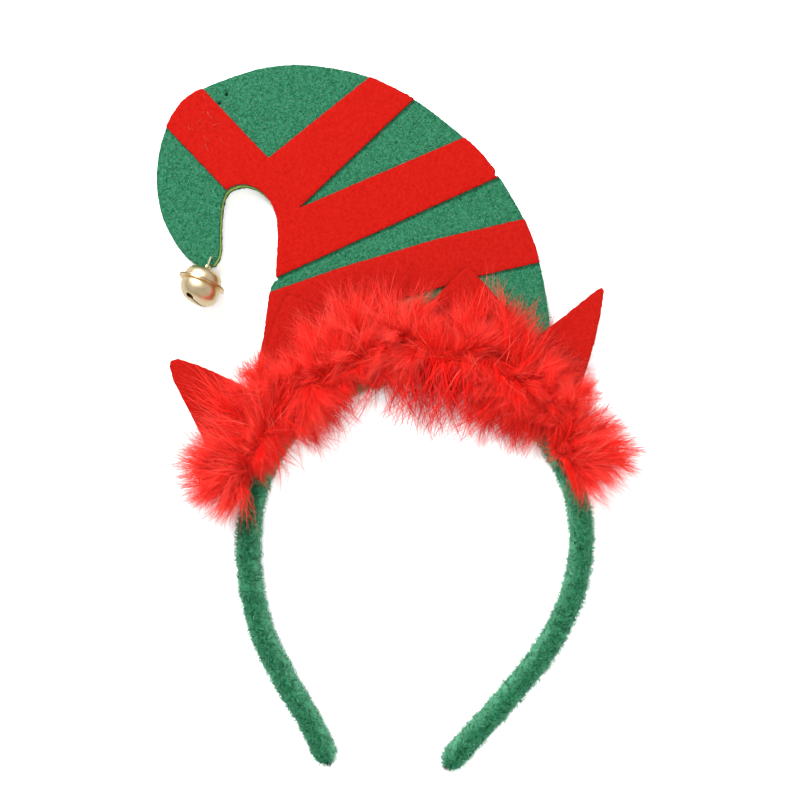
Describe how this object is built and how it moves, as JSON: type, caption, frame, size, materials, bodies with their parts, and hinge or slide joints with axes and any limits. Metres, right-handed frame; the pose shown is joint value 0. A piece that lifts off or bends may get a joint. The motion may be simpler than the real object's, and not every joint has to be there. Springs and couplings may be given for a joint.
{
  "type": "christmas headband",
  "caption": "Novelty headband: an open plush hoop that carries a flat felt elf hat with a striped front, pointed collar, feather trim and a jingle bell on its hooked tip.",
  "frame": {"origin": "middle of the bounding box, on the table under the hoop", "axes": "+X to the wearer's left as the hat is seen from the front, +Y from the hoop's open ends to the top of the hat, +Z out of the front of the hat, which lies face up"},
  "size_m": [0.177, 0.2654, 0.0301],
  "materials": {
    "green_plush": "short curly plush",
    "dark_green_felt": "needled felt",
    "lime_foam": "soft craft foam",
    "green_felt": "needled felt",
    "red_felt": "short-nap felt",
    "red_feather": "fluffy down",
    "gold_metal": "bright plated",
    "pale_thread": "twisted thread"
  },
  "bodies": {
    "root": {"hoop": "green_plush", "hat_back_felt": "dark_green_felt", "hat_foam_core": "lime_foam", "hat_front_felt": "green_felt", "stripe_comb": "red_felt", "stripe_low": "red_felt", "collar": "red_felt", "feather_trim": "red_feather", "bell_upper": "gold_metal", "bell_lower": "gold_metal", "bell_thread": "pale_thread"}
  },
  "joints": []
}
